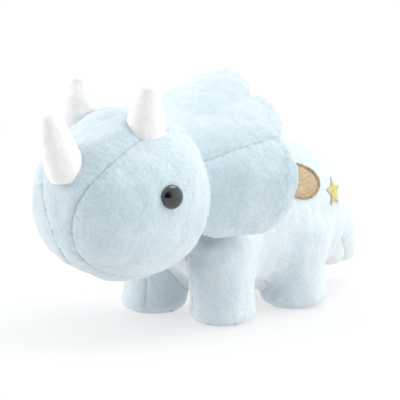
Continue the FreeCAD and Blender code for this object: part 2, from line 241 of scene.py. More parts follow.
def cut(points, triangles, marks, field):
    """Cuts triangles where field, a value at each point, is zero.

    A cut keeps a little off the corners of triangles, so that it leaves no slivers.
    Returns the new points, triangles, marks (carried over) and each triangle's side of the cut.
    """
    side = field >= 0
    mixed = side[triangles].any(axis=1) & ~side[triangles].all(axis=1)
    new_points = []
    new_index = {}
    new_triangles, new_marks, new_sides = [], [], []

    def crossing(i, j):
        key = (min(i, j), max(i, j))
        if key not in new_index:
            share = min(max(field[i] / (field[i] - field[j]), 0.1), 0.9)
            new_index[key] = len(points) + len(new_points)
            new_points.append(points[i] + share * (points[j] - points[i]))
        return new_index[key]

    for triangle, mark in zip(triangles[mixed].tolist(), marks[mixed].tolist()):
        sides = [bool(side[v]) for v in triangle]
        lone = sides.index(sides.count(True) == 1)
        a, b, c = (triangle[(lone + i) % 3] for i in range(3))
        ab, ac = crossing(a, b), crossing(a, c)
        new_triangles += [(a, ab, ac), (ab, b, c), (ab, c, ac)]
        new_marks += [mark] * 3
        new_sides += [sides[lone], not sides[lone], not sides[lone]]
    kept = triangles[~mixed]
    sides = side[kept[:, 0]]
    if new_triangles:
        points = np.vstack([points, np.array(new_points)])
        kept = np.vstack([kept, np.array(new_triangles, np.int32)])
        marks = np.concatenate([marks[~mixed], np.array(new_marks, marks.dtype)])
        sides = np.concatenate([sides, np.array(new_sides)])
    else:
        marks = marks[~mixed]
    return points, kept, marks, sides


def distance_to(points, targets):
    """Distance from each point to its nearest target."""
    tree = kdtree.KDTree(len(targets))
    for index, target in enumerate(targets):
        tree.insert(target, index)
    tree.balance()
    return np.array([tree.find(point)[2] for point in points])


def seam_points(triangles, labels, count):
    """The points where triangles with different labels meet."""
    low = np.full(count, 10**6)
    high = np.full(count, -1)
    for i in range(3):
        np.minimum.at(low, triangles[:, i], labels)
        np.maximum.at(high, triangles[:, i], labels)
    return np.where((high > low) & (high >= 0))[0]


PUCKER = Waves(5.0)
SWELL = Waves(38.0)
DENT = Waves(16.0)
CLUMP = Waves(3.2, 40)


def stuff(points, triangles, seams, depth=1.5, width=1.5, pillow=1.0, softness=1.0, dents=()):
    """Pulls a form in along its seams and gives it the small unevenness of hand stuffing.

    dents are (points, depth, width) of further places where it is pressed in. Returns the new
    points and how close each is to a seam, from 1 on it to 0 away from it.
    """
    normals = normals_of(points, triangles)
    gap = distance_to(points, points[seams])
    near = np.exp(-((gap / width) ** 2))
    wide = np.exp(-gap / 6.0)
    inward = depth * near + pillow * wide * (1 + 0.35 * PUCKER(points))
    for targets, dent_depth, dent_width in dents:
        inward += dent_depth * np.exp(-((distance_to(points, targets) / dent_width) ** 2))
    out = softness * (0.55 * SWELL(points) + 0.3 * DENT(points)) * (1 - wide)
    out += 0.10 * CLUMP(points)
    return points + normals * (out - inward)[:, None], near


def make_piece(name, points, triangles, material, seam=None, thickness=SKIN, normals=None):
    """A fabric panel: the triangles given, as a closed sheet with its other face inside the form."""
    if normals is None:
        normals = normals_of(points, triangles)
    used, flat = np.unique(triangles, return_inverse=True)
    flat = flat.reshape(-1, 3)
    outer, directions = points[used], normals[used]
    count = len(used)
    if thickness:
        edges = np.vstack([flat[:, [0, 1]], flat[:, [1, 2]], flat[:, [2, 0]]])
        keys = np.sort(edges, axis=1)
        _, first, uses = np.unique(keys, axis=0, return_index=True, return_counts=True)
        rim = edges[first[uses == 1]]
        wall = np.vstack([rim[:, [1, 0]].T, (rim[:, 0] + count)[None], (rim[:, 1] + count)[None]]).T
        faces = flat.tolist() + (flat[:, ::-1] + count).tolist() + wall.tolist()
        outer = np.vstack([outer, outer - directions * thickness])
        directions = np.vstack([directions, -directions])
    else:
        faces = flat.tolist()
    mesh = bpy.data.meshes.new(name)
    mesh.from_pydata((outer * MM).tolist(), [], faces)
    mesh.polygons.foreach_set("use_smooth", [True] * len(mesh.polygons))
    mesh.normals_split_custom_set_from_vertices(directions.tolist())
    # The seam closeness is kept as the 'seam' attribute, which the plush materials use to paint shade into
    # the seam valleys.
    if seam is not None:
        closeness = np.concatenate([seam[used]] * (len(outer) // count)).astype(np.float32)
        mesh.attributes.new("seam", "FLOAT", "POINT").data.foreach_set("value", closeness)
    piece = bpy.data.objects.new(name, mesh)
    bpy.context.collection.objects.link(piece)
    mesh.materials.append(material)
    return piece


def bake(piece):
    """Applies the piece's modifiers to its mesh."""
    if not piece.modifiers:
        return
    graph = bpy.context.evaluated_depsgraph_get()
    mesh = bpy.data.meshes.new_from_object(piece.evaluated_get(graph))
    old = piece.data
    piece.modifiers.clear()
    piece.data = mesh
    bpy.data.meshes.remove(old)


# ---- Materials ----------------------------------------------------------------------------------
def new_material(name, roughness=0.9):
    """A material with its nodes, links and shader."""
    material = bpy.data.materials.new(name)
    material.use_nodes = True
    shader = material.node_tree.nodes["Principled BSDF"]
    shader.inputs["Roughness"].default_value = roughness
    return material, material.node_tree.nodes, material.node_tree.links, shader


def noise_node(nodes, links, scale, detail=2.0, stretch=(1, 1, 1), roughness=0.5):
    """Noise in object space, optionally stretched, at a scale in waves per metre."""
    place = nodes.new("ShaderNodeTexCoord")
    mapping = nodes.new("ShaderNodeMapping")
    mapping.inputs["Scale"].default_value = stretch
    noise_texture = nodes.new("ShaderNodeTexNoise")
    noise_texture.inputs["Scale"].default_value = scale
    noise_texture.inputs["Detail"].default_value = detail
    noise_texture.inputs["Roughness"].default_value = roughness
    links.new(place.outputs["Object"], mapping.inputs["Vector"])
    links.new(mapping.outputs["Vector"], noise_texture.inputs["Vector"])
    return noise_texture.outputs["Fac"]


def ramp_node(nodes, links, value, stops):
    """Colours for a value, from stops of (place, colour)."""
    ramp = nodes.new("ShaderNodeValToRGB")
    elements = ramp.color_ramp.elements
    while len(elements) < len(stops):
        elements.new(0.5)
    for element, (place, color) in zip(elements, stops):
        element.position = place
        element.color = (*color, 1)
    links.new(value, ramp.inputs["Fac"])
    return ramp.outputs["Color"]


def mix_node(nodes, links, kind, amount, first, second):
    """Two colours combined; amount is a number or another node's output."""
    mix = nodes.new("ShaderNodeMix")
    mix.data_type = "RGBA"
    mix.blend_type = kind
    if isinstance(amount, float):
        mix.inputs["Factor"].default_value = amount
    else:
        links.new(amount, mix.inputs["Factor"])
    links.new(first, mix.inputs["A"])
    links.new(second, mix.inputs["B"])
    return mix.outputs["Result"]


def bump_chain(nodes, links, shader, layers):
    """Bump from several heights, each (value, strength, distance in metres)."""
    normal = None
    for value, strength, distance in layers:
        bump = nodes.new("ShaderNodeBump")
        bump.inputs["Strength"].default_value = strength
        bump.inputs["Distance"].default_value = distance
        links.new(value, bump.inputs["Height"])
        if normal is not None:
            links.new(normal, bump.inputs["Normal"])
        normal = bump.outputs["Normal"]
    links.new(normal, shader.inputs["Normal"])


def plush(name, dark, light, seam_shade, sheen=0.6, grain=0.8):
    """Short-pile plush: soft brushed patches, fine pile clumps, and painted shade that darkens the seam
    valleys.
    """
    material, nodes, links, shader = new_material(name, 1.0)
    patches = noise_node(nodes, links, 45, 3)
    strokes = noise_node(nodes, links, 300, 4, roughness=0.65)
    pile = noise_node(nodes, links, 1000, 3, roughness=0.75)
    broad = ramp_node(nodes, links, patches, [(0.35, dark), (0.65, light)])
    fine = ramp_node(nodes, links, strokes, [(0.32, dark), (0.68, light)])
    color = mix_node(nodes, links, "MIX", 0.5, broad, fine)
    speck = ramp_node(nodes, links, pile, [(0.32, (0.74, 0.78, 0.82)), (0.6, (1, 1, 1))])
    color = mix_node(nodes, links, "MULTIPLY", grain, color, speck)
    # Painted shade: the colour is darkened towards the seam colour where the seam attribute is high.
    seam = nodes.new("ShaderNodeAttribute")
    seam.attribute_name = "seam"
    seam_valley_shade = ramp_node(nodes, links, seam.outputs["Fac"], [(0.45, (1, 1, 1)), (1.0, seam_shade)])
    color = mix_node(nodes, links, "MULTIPLY", 1.0, color, seam_valley_shade)
    links.new(color, shader.inputs["Base Color"])
    shader.inputs["Sheen Weight"].default_value = sheen
    shader.inputs["Sheen Roughness"].default_value = 0.65
    shader.inputs["Specular IOR Level"].default_value = 0.1
    bump_chain(nodes, links, shader, [(strokes, 0.5 * grain, 0.0015), (pile, 0.9 * grain, 0.0009)])
    return material


def thread_material(name, dark, light, direction):
    """Satin-stitch thread: fine parallel strands."""
    material, nodes, links, shader = new_material(name, 0.45)
    strands = noise_node(nodes, links, 900, 2, direction)
    color = ramp_node(nodes, links, strands, [(0.35, dark), (0.65, light)])
    links.new(color, shader.inputs["Base Color"])
    shader.inputs["Sheen Weight"].default_value = 0.3
    bump_chain(nodes, links, shader, [(strands, 0.6, 0.0004)])
    return material


def gloss_material(name, color):
    """Polished plastic, a touch paler in patches."""
    material, nodes, links, shader = new_material(name, 0.08)
    haze = noise_node(nodes, links, 300, 2)
    paler = tuple(c * 1.6 + 0.002 for c in color)
    links.new(ramp_node(nodes, links, haze, [(0.3, color), (0.8, paler)]), shader.inputs["Base Color"])
    shader.inputs["Coat Weight"].default_value = 1.0
    shader.inputs["Coat Roughness"].default_value = 0.03
    return material


# The third colour of each plush is the painted shade laid into its seam valleys.
BLUE = plush("blue_plush", (0.53, 0.69, 0.75), (0.66, 0.79, 0.84), (0.72, 0.79, 0.83), 1.0)
# The body's plush is the head's blue plush made lighter: painted light standing in for the stronger light on
# the body.
BODY_PAINTED_LIGHT = plush("body_plush_painted_light", (0.60, 0.73, 0.78), (0.72, 0.82, 0.86), (0.72, 0.79, 0.83), 1.0)
BELLY = plush("belly_plush", (0.80, 0.83, 0.86), (0.88, 0.90, 0.92), (0.75, 0.79, 0.82), 0.7)
WHITE = plush("white_plush", (0.86, 0.84, 0.82), (0.93, 0.92, 0.91), (0.85, 0.83, 0.81), 0.7, 0.4)
TAN = thread_material("tan_satin", (0.38, 0.28, 0.15), (0.50, 0.39, 0.24), (1, 0.15, 1))
BROWN = thread_material("brown_thread", (0.20, 0.12, 0.06), (0.42, 0.29, 0.16), (1, 1, 0.2))
YELLOW = thread_material("yellow_thread", (0.50, 0.43, 0.10), (0.68, 0.62, 0.22), (1, 1, 0.2))
EYE = gloss_material("eye_plastic", (0.004, 0.004, 0.004))


# ---- Head ---------------------------------------------------------------------------------------
def icosphere(levels):
    """Points and triangles of a unit ball."""
    mesh = bpy.data.meshes.new("start")
    ball = bmesh.new()
    bmesh.ops.create_icosphere(ball, subdivisions=levels, radius=1.0)
    ball.to_mesh(mesh)
    ball.free()
    points, triangles = read_mesh(mesh)
    bpy.data.meshes.remove(mesh)
    return points, triangles


def head_surface(directions):
    """Points on the stuffed head for unit directions from its centre."""
    x, y, z = directions.T
    snout = np.clip(-0.86 * y - 0.5 * z, 0, 1) ** 3
    cheek = np.exp(-((z + 0.25) / 0.45) ** 2) * np.clip(1 - np.abs(y) * 0.9, 0, 1)
    swell = 1 + 0.035 * snout + 0.012 * cheek
    points = HEAD_CENTRE + directions * HEAD_HALF * swell[:, None]
    across = (points[:, 0] ** 2 + (points[:, 2] - HEAD_CENTRE[2]) ** 2) / (2 * HEAD_CROWN_R)
    points[:, 1] = smooth_min(points[:, 1], HEAD_BACK_Y - across, 9.0)
    return points


def horn_base_ring(base, tip, radius, lift=0.0):
    """A ring of points round a horn's base, lift millimetres up its axis."""
    base, tip = np.array(base, float), np.array(tip, float)
    axis = (tip - base) / np.linalg.norm(tip - base)
    side = np.cross(axis, (0.0, 1.0, 0.0) if abs(axis[1]) < 0.8 else (1.0, 0.0, 0.0))
    side /= np.linalg.norm(side)
    other = np.cross(axis, side)
    turns = np.linspace(0, 2 * math.pi, 72, endpoint=False)[:, None]
    return base + axis * lift + radius * (np.cos(turns) * side + np.sin(turns) * other)


def build_head():
    """The head's gusset, two cheeks and back panel, cut from one form."""
    directions, triangles = icosphere(7)
    points = head_surface(directions)
    marks = np.zeros(len(triangles), int)
    gusset = smooth_table(points[:, 2], *zip(*GUSSET)) - np.abs(points[:, 0])
    points, triangles, marks, inside = cut(points, triangles, marks, gusset)
    centre_x = points[triangles][:, :, 0].mean(axis=1)
    marks = np.where(inside, 0, np.where(centre_x > 0, 1, 2))
    points, triangles, marks, back = cut(points, triangles, marks, points[:, 1] - HEAD_SEAM_Y)
    marks = np.where(back, 3, marks)
    seams = seam_points(triangles, marks, len(points))
    rings = np.vstack([horn_base_ring(base, tip, radius, 1.0) for base, tip, radius in HORNS.values()])
    eyes = np.array([eye_seat(side)[0] for side in (1, -1)])
    dents = [(rings, 1.6, 3.0), (eyes, 1.1, 11.0)]
    points, near = stuff(points, triangles, seams, 0.55, 1.1, 0.75, 1.0, dents)
    names = ["head_gusset", "head_cheek_left", "head_cheek_right", "head_back_panel"]
    for label, name in enumerate(names):
        piece = make_piece("plush_" + name, points, triangles[marks == label], BLUE, near)
        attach(piece, "head")
        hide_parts(name)
        if label == 0:
            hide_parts("head_stuffing")


# ---- Torso, legs and tail -----------------------------------------------------------------------
def trunk_distance(points):
    """Roughly how far points are outside the trunk, lofted from its sections."""
    ys, centres, widths, heights = (np.array(column, float) for column in zip(*TRUNK))
    y = points[:, 1]
    centre = smooth_table(y, ys, centres)
    width = np.maximum(smooth_table(y, ys, widths), 1.0)
    height = np.maximum(smooth_table(y, ys, heights), 1.0)
    across = np.abs(points[:, 0]) / width
    up = np.abs(points[:, 2] - centre) / height
    reach = (across**2.25 + up**2.25) ** (1 / 2.25)
    body = (reach - 1) * np.minimum(width, height)
    rounded = -smooth_min(-body, y - TRUNK_FRONT_Y, 12.0)
    return np.maximum(rounded, y - ys[-1] + 1.0)


def leg_distance(points, x, y):
    """How far points are outside a round leg, slightly flared at the foot, with rolled edges."""
    from_axis = np.hypot(points[:, 0] - x, points[:, 1] - y)
    flare = 1.0 * np.exp(-((points[:, 2] - 7) / 7.0) ** 2)
    side = from_axis - (LEG_R + flare) + SOLE_ROLL
    height = np.maximum(SOLE_ROLL - points[:, 2], points[:, 2] - LEG_TOP + SOLE_ROLL)
    outside = np.hypot(np.maximum(side, 0), np.maximum(height, 0))
    return outside + np.minimum(np.maximum(side, height), 0) - SOLE_ROLL


def tail_distance(points):
    """How far points are outside the tail, a run of balls melted together."""
    ys, zs, radii = (np.array(column, float) for column in zip(*TAIL))
    steps = np.linspace(ys[0], ys[-1], 24)
    result = None
    for y in steps:
        centre = np.array([0.0, y, smooth_table(np.array([y]), ys, zs)[0]])
        gap = np.linalg.norm(points - centre, axis=1) - smooth_table(np.array([y]), ys, radii)[0] * 0.985
        result = gap if result is None else smooth_min(result, gap, 3.0)
    return result


LEGS = {
    "front_left": (LEG_X, LEG_FRONT_Y),
    "front_right": (-LEG_X, LEG_FRONT_Y),
    "rear_left": (LEG_X, LEG_REAR_Y),
    "rear_right": (-LEG_X, LEG_REAR_Y),
}


def body_distance(points):
    """How far points are outside the stuffed body: trunk, legs and tail run into each other."""
    result = smooth_min(trunk_distance(points), tail_distance(points), 14.0)
    for x, y in LEGS.values():
        result = smooth_min(result, leg_distance(points, x, y), 13.0)
    return result


def body_surface():
    """A fine even mesh of the body's surface: a rough union, remeshed, then moved onto the surface."""
    rough = bmesh.new()
    trunk_ys, centres, widths, heights = (np.array(column, float) for column in zip(*TRUNK))
    for y in np.arange(trunk_ys[0], trunk_ys[-2] + 1, 5.0):
        centre, width, height = (
            float(smooth_table(np.array([y]), trunk_ys, values)[0]) for values in (centres, widths, heights)
        )
        size = Matrix.Diagonal((width, 9, height, 1))
        bmesh.ops.create_icosphere(
            rough, subdivisions=4, radius=1.0, matrix=Matrix.Translation((0, y, centre)) @ size
        )
    for x, y in LEGS.values():
        bmesh.ops.create_cone(
            rough, cap_ends=True, segments=48, radius1=LEG_R, radius2=LEG_R, depth=LEG_TOP,
            matrix=Matrix.Translation((x, y, LEG_TOP / 2)),
        )
    ys, zs, radii = (np.array(column, float) for column in zip(*TAIL))
    for y in np.linspace(ys[0], ys[-1], 16):
        z, radius = smooth_table(np.array([y]), ys, zs)[0], smooth_table(np.array([y]), ys, radii)[0]
        bmesh.ops.create_icosphere(
            rough, subdivisions=3, radius=float(radius), matrix=Matrix.Translation((0, y, z))
        )
    mesh = bpy.data.meshes.new("rough")
    rough.to_mesh(mesh)
    rough.free()
    body = bpy.data.objects.new("rough", mesh)
    bpy.context.collection.objects.link(body)
    remesh = body.modifiers.new("remesh", "REMESH")
    remesh.mode = "VOXEL"
    remesh.voxel_size = 1.7
    bake(body)
    points, triangles = read_mesh(body.data)
    bpy.data.objects.remove(body)
    for _ in range(6):
        points = relax(points, triangles, 3)
        for _ in range(2):
            points = onto(points, body_distance)
    return points, triangles


def relax(points, triangles, rounds):
    """Evens a mesh out by moving each point to the middle of its neighbours."""
    edges = np.vstack([triangles[:, [0, 1]], triangles[:, [1, 2]], triangles[:, [2, 0]]])
    edges = np.unique(np.sort(edges, axis=1), axis=0)
    degree = np.bincount(edges.ravel(), minlength=len(points))[:, None]
    for _ in range(rounds):
        total = np.zeros_like(points)
        np.add.at(total, edges[:, 0], points[edges[:, 1]])
        np.add.at(total, edges[:, 1], points[edges[:, 0]])
        points = 0.5 * points + 0.5 * total / degree
    return points


def onto(points, distance):
    """Moves points along the distance's slope onto its zero surface."""
    step = 0.05
    here = distance(points)
    slope = np.stack([(distance(points + step * axis) - here) / step for axis in np.eye(3)], axis=1)
    size = np.maximum((slope**2).sum(axis=1), 0.2)
    move = np.clip(here / size, -4, 4)
    return points - slope * move[:, None]


def build_body():
    """The panels of the trunk, legs and tail, cut from one form."""
    points, triangles = body_surface()
    marks = np.zeros(len(triangles), int)
    points, triangles, marks, left = cut(points, triangles, marks, points[:, 0] + 1e-4)
    marks = np.where(left, 0, 1)
    under = np.minimum(BELLY_HALF_WIDTH - np.abs(points[:, 0]), BELLY_TOP - points[:, 2])
    near_leg = np.full(len(points), 1e3)
    for x, y in LEGS.values():
        near_leg = np.minimum(near_leg, np.hypot(points[:, 0] - x, points[:, 1] - y) - LEG_R - 2.5)
    belly = np.minimum(under, near_leg)
    points, triangles, marks, inside = cut(points, triangles, marks, belly)
    marks = np.where(inside, 2, marks)
    inner = np.minimum(INNER_LEG_X - np.abs(points[:, 0]), BELLY_TOP + 3 - points[:, 2])
    points, triangles, marks, inside = cut(points, triangles, marks, inner)
    middle = points[triangles].mean(axis=1)
    for index, (x, y) in enumerate(LEGS.values()):
        mine = (np.hypot(middle[:, 0] - x, middle[:, 1] - y) < LEG_R + 2.6) & inside & (marks != 2)
        marks = np.where(mine, 3 + index, marks)
    ground = SOLE_SEAM_Z - points[:, 2]
    points, triangles, marks, inside = cut(points, triangles, marks, ground)
    middle = points[triangles].mean(axis=1)
    for index, (x, y) in enumerate(LEGS.values()):
        mine = (np.hypot(middle[:, 0] - x, middle[:, 1] - y) < LEG_R + 4) & inside
        marks = np.where(mine, 7 + index, marks)
    points, triangles, marks, behind = cut(points, triangles, marks, points[:, 1] - TAIL_CUT_Y)
    back_of_root = (points[:, 1] - TAIL_ROOT_Y) * math.sin(TAIL_DROOP)
    above = back_of_root + (points[:, 2] - TAIL_ROOT_Z) * math.cos(TAIL_DROOP)
    marks = marks + 20 * behind
    points, triangles, marks, upper = cut(points, triangles, marks, above)
    tail = marks >= 20
    marks = np.where(tail, np.where(upper, 11, 12), marks)
    # For the seams, the tail's top counts as the left side and its underside as the belly, so no
    # valley is pressed in where those pairs meet.
    panel = np.where(marks == 11, 0, np.where(marks == 12, 2, marks))
    seams = seam_points(triangles, panel, len(points))
    seams = seams[(np.abs(points[seams, 0]) > 0.01) | (points[seams, 1] < TAIL_CUT_Y)]
    flat = points[:, 2] < 0.35
    stuffed, near = stuff(points, triangles, seams, depth=0.5, width=1.1, pillow=0.6)
    points = np.where(flat[:, None], points, stuffed)
    points[:, 2] = np.maximum(points[:, 2], 0.0)
    normals = normals_of(points, triangles)
    panels = [("body_side_left", 0), ("body_side_right", 1), ("belly_panel", 2)]
    panels += [("inner_leg_" + name, 3 + index) for index, name in enumerate(LEGS)]
    panels += [("sole_" + name, 7 + index) for index, name in enumerate(LEGS)]
    panels += [("tail_skin_top", 11), ("tail_skin_under", 12)]
    # CAD nodes inside the form that go with a panel.
    under_nodes = {
        "body_side_left": ["torso_stuffing", "tail_root_sleeve", "tail_root_wad"],
        "tail_skin_top": ["tail_stuffing"],
    }
    for name, label in panels:
        light = name in ("belly_panel", "tail_skin_under")
        # Panels other than the pale belly and tail underside get the lighter body plush, which is painted
        # light.
        piece = make_piece(
            "plush_" + name, points, triangles[marks == label], BELLY if light else BODY_PAINTED_LIGHT, near, SKIN, normals
        )
        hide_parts(name, *under_nodes.get(name, []))
        if name.startswith("inner_leg_"):
            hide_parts(name.replace("inner_leg", "leg_stuffing"))
        if label <= 2:
            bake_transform(piece)
        elif label >= 11:
            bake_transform(piece)
        else:
            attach(piece, "torso")
    return points, triangles


# ---- Frill --------------------------------------------------------------------------------------
def frill_mesh():
    """The frill's whole surface as loops round its thickness, from one lower corner to the other.

    Returns points, triangles and whether each triangle is on the back (1) or the front (0).
    """
    angles, lengths, leans, thicks = (np.array(column, float) for column in zip(*FRILL))
    across = 300
    along = 46
    turn = np.linspace(angles[0], 180 - angles[0], across)
    folded = np.where(turn > 90, 180 - turn, turn)
    length = smooth_table(folded, angles, lengths)
    lean = np.radians(smooth_table(folded, angles, leans))
    thick = smooth_table(folded, angles, thicks)
    length = length * (1 - SHORT_SHARE * np.exp(-(((turn - SHORT_ANGLE) / SHORT_WIDTH) ** 2)))
    for crease in (LOBE_CREASE, LOBE_SEAM):
        thick = thick * (1 - 0.35 * np.exp(-(((folded - crease) / 2.5) ** 2)))
    radians = np.radians(turn)
    radial = np.stack([np.cos(radians), 0 * radians, np.sin(radians)], axis=1)
    back = np.array([0.0, 1.0, 0.0])
    out = radial * np.cos(lean)[:, None] + back * np.sin(lean)[:, None]
    front = radial * np.sin(lean)[:, None] - back * np.cos(lean)[:, None]
    root = np.array([0, FRILL_ROOT_Y, HEAD_CENTRE[2]]) + radial * FRILL_ROOT_R
    share = np.sin(np.linspace(0, math.pi / 2, along)) ** 0.9
    thinner_at_root = 0.74 + 0.26 * np.sin(np.minimum(share * 2.2, 1) * math.pi / 2)
    rise = (1 - share**3.2) ** (1 / 2.2) * thinner_at_root
    loop_share = np.concatenate([share, share[-2::-1]])
    loop_rise = np.concatenate([rise, -rise[-2::-1]])
    reach = loop_share[None, :] * length[:, None]
    reach[:, [0, -1]] = -FRILL_TUCK
    points = (
        root[:, None] + out[:, None] * reach[:, :, None]
        + front[:, None] * (loop_rise[None, :, None] * thick[:, None, None])
    )
    rows, columns = points.shape[:2]
    index = np.arange(rows * columns).reshape(rows, columns)
    a, b = index[:-1, :-1].ravel(), index[1:, :-1].ravel()
    c, d = index[1:, 1:].ravel(), index[:-1, 1:].ravel()
    triangles = np.vstack([np.stack([a, b, c], 1), np.stack([a, c, d], 1)])
    column_of = np.tile(np.tile(np.arange(columns - 1), rows - 1), 2)
    is_back = column_of >= along - 1
    points = points.reshape(-1, 3)
    return points, triangles, is_back.astype(int)


def angle_on_head(points):
    """Angle round the back of the head, from 0 at the toy's left over the top to 180 at its right."""
    angle = np.degrees(np.arctan2(points[:, 2] - HEAD_CENTRE[2], points[:, 0]))
    return np.where(angle < -90, angle + 360, angle)


def build_frill():
    """The front and back panels of the frill's two lower lobes and its upper part."""
    points, triangles, marks = frill_mesh()
    points, triangles, marks, high = cut(points, triangles, marks, angle_on_head(points) - LOBE_SEAM)
    marks = marks + 2 * high
    points, triangles, marks, far = cut(
        points, triangles, marks, angle_on_head(points) - (180 - LOBE_SEAM)
    )
    marks = marks + 2 * far
    seams = seam_points(triangles, marks, len(points))
    points, near = stuff(points, triangles, seams, depth=0.4, width=1.5, pillow=0.6, softness=1.0)
    normals = normals_of(points, triangles)
    for label in range(6):
        lobe = ("left", "upper", "right")[label // 2]
        face = ("front", "back")[label % 2]
        name = "frill_{}_{}".format(lobe, face)
        piece = make_piece("plush_" + name, points, triangles[marks == label], BLUE, near, 1.6, normals)
        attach(piece, "head")
        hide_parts(name)
        if face == "front":
            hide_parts("frill_{}_batting".format(lobe))


# ---- Turned pieces: horns, eyes, neck -----------------------------------------------------------
def turned(profile, origin, axis, segments=96):
    """A closed surface of revolution from (radius, height) points that start and end on the axis."""
    axis = np.array(axis, float) / np.linalg.norm(axis)
    side = np.cross(axis, (0.0, 1.0, 0.0) if abs(axis[1]) < 0.8 else (1.0, 0.0, 0.0))
    side /= np.linalg.norm(side)
    other = np.cross(axis, side)
    points = [np.array(origin, float) + axis * profile[0][1]]
    for radius, height in profile[1:-1]:
        for turn in np.linspace(0, 2 * math.pi, segments, endpoint=False):
            around = side * math.cos(turn) + other * math.sin(turn)
            points.append(np.array(origin, float) + axis * height + around * radius)
    points.append(np.array(origin, float) + axis * profile[-1][1])
    triangles = []
    last = len(points) - 1
    rings = len(profile) - 2
    for k in range(segments):
        n = (k + 1) % segments
        triangles.append((0, 1 + n, 1 + k))
        for ring in range(rings - 1):
            a, b = 1 + ring * segments + k, 1 + ring * segments + n
            c, d = a + segments, b + segments
            triangles += [(a, b, d), (a, d, c)]
        top = 1 + (rings - 1) * segments
        triangles.append((top + k, top + n, last))
    return np.array(points), np.array(triangles)


def build_horns():
    """Three white horns: a tapered tube with a rounded tip and one pressed-in seam up the back."""
    for name, (base, tip, radius) in HORNS.items():
        base, tip = np.array(base, float), np.array(tip, float)
        axis = tip - base
        length = np.linalg.norm(axis)
        shares, heights = zip(*HORN_PROFILE)
        levels = np.linspace(heights[0], heights[-1], 46)
        radii = smooth_table(levels, heights, shares) * radius
        round_turns = np.linspace(0, math.pi / 2, 14)[1:]
        levels = np.concatenate([levels, heights[-1] + (1 - heights[-1]) * np.sin(round_turns)])
        radii = np.concatenate([radii, radii[-1] * np.cos(round_turns)])
        outline = list(zip(radii[:-1], levels[:-1] * length))
        profile = [(0, levels[0] * length)] + outline + [(0, length)]
        points, triangles = turned(profile, base, axis)
        along = (points - base) @ (axis / length) / length
        bend = HORN_BEND * np.sin(np.clip(along, 0, 1) * math.pi)
        points = points + bend[:, None] * np.array([0.0, -0.4, -0.3])
        normals = normals_of(points, triangles)
        seam = np.exp(-((distance_to(points, horn_seam(base, tip, radius)) / 1.1) ** 2))
        lumps = 0.12 * DENT(points * 1.6) + 0.06 * CLUMP(points) - 0.35 * seam
        points = points + normals * lumps[:, None]
        # The seam closeness also darkens the horn's fabric along its groove, as painted shade.
        piece = make_piece("plush_" + name, points, triangles, WHITE, 0.35 * seam, 0)
        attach(piece, "head")
        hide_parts(name, name + "_stuffing")


def horn_seam(base, tip, radius):
    """Points along the one seam that runs up the back of a horn."""
    shares, heights = zip(*HORN_PROFILE)
    levels = np.linspace(heights[0], 1, 60)
    reach = smooth_table(levels, heights, shares) * radius
    back = np.array([0.0, 1.0, 0.0])
    axis = tip - base
    back = back - axis * (back @ axis) / (axis @ axis)
    back /= np.linalg.norm(back)
    return base + levels[:, None] * axis + reach[:, None] * back


def eye_seat(sign):
    """Where an eye sits on the head and which way it faces."""
    up = (EYE_Z - HEAD_CENTRE[2]) / HEAD_HALF[2]
    share = math.sqrt(1 - up * up)
    offset = np.array([
        sign * HEAD_HALF[0] * share * math.sin(EYE_TURN),
        -HEAD_HALF[1] * share * math.cos(EYE_TURN),
        EYE_Z - HEAD_CENTRE[2],
    ])
    out = offset / HEAD_HALF**2
    return HEAD_CENTRE + offset, out / np.linalg.norm(out)


def build_eyes():
    """Two domed safety eyes."""
    for name, sign in (("eye_left", 1), ("eye_right", -1)):
        seat, out = eye_seat(sign)
        turns = np.linspace(0, math.pi / 2, 18)
        dome = [(EYE_R * math.cos(t) ** 0.9, EYE_HEIGHT * math.sin(t)) for t in turns]
        profile = [(0, -1.5), (EYE_R, -1.5)] + dome[:-1] + [(0, EYE_HEIGHT)]
        points, triangles = turned(profile, seat, out)
        piece = make_piece("dome_" + name, points, triangles, EYE, None, 0)
        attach(piece, "head")
        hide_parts(name)


def build_neck():
    """The wad the head turns on: a ball with flat ends, mostly hidden between head and trunk."""
    turns = np.linspace(-NECK_END, NECK_END, 40)
    outline = [(NECK_R * math.cos(t), NECK_R * math.sin(t)) for t in turns]
    profile = [(0, outline[0][1])] + outline + [(0, outline[-1][1])]
    points, triangles = turned(profile, NECK_CENTRE, (0, 1, 0))
    lumps = 0.3 * DENT(points) + 0.1 * CLUMP(points)
    points = points + normals_of(points, triangles) * lumps[:, None]
    piece = make_piece("plush_neck", points, triangles, BLUE, np.zeros(len(points)), 0)
    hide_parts("neck_sleeve", "neck_wad")
    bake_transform(piece)


# ---- Patches and embroidery ---------------------------------------------------------------------
def oval_gap(y, z):
    """Roughly how far (y, z) is inside the patch's oval edge."""
    centre_y, centre_z, half_long, half_high, tilt = PATCH
    tilt = math.radians(tilt)
    along = (y - centre_y) * math.cos(tilt) + (z - centre_z) * math.sin(tilt)
    up = (z - centre_z) * math.cos(tilt) - (y - centre_y) * math.sin(tilt)
    reach = np.hypot(along / half_long, up / half_high)
    return (1 - reach) * half_high


def star_gap(y, z):
    """How far (y, z) is inside the star's outline."""
    centre_y, centre_z, outer = STAR
    turn = np.arctan2(y - centre_y, z - centre_z)
    radius = np.hypot(y - centre_y, z - centre_z)
    sector = 2 * math.pi / 5
    turn = np.abs((turn + sector / 2) % sector - sector / 2)
    inner = outer * 0.5
    tip = np.array([outer, 0.0])
    notch = np.array([inner * math.cos(sector / 2), inner * math.sin(sector / 2)])
    edge = (notch - tip) / np.linalg.norm(notch - tip)
    x0, y0 = radius * np.cos(turn) - tip[0], radius * np.sin(turn) - tip[1]
    return edge[0] * y0 - edge[1] * x0


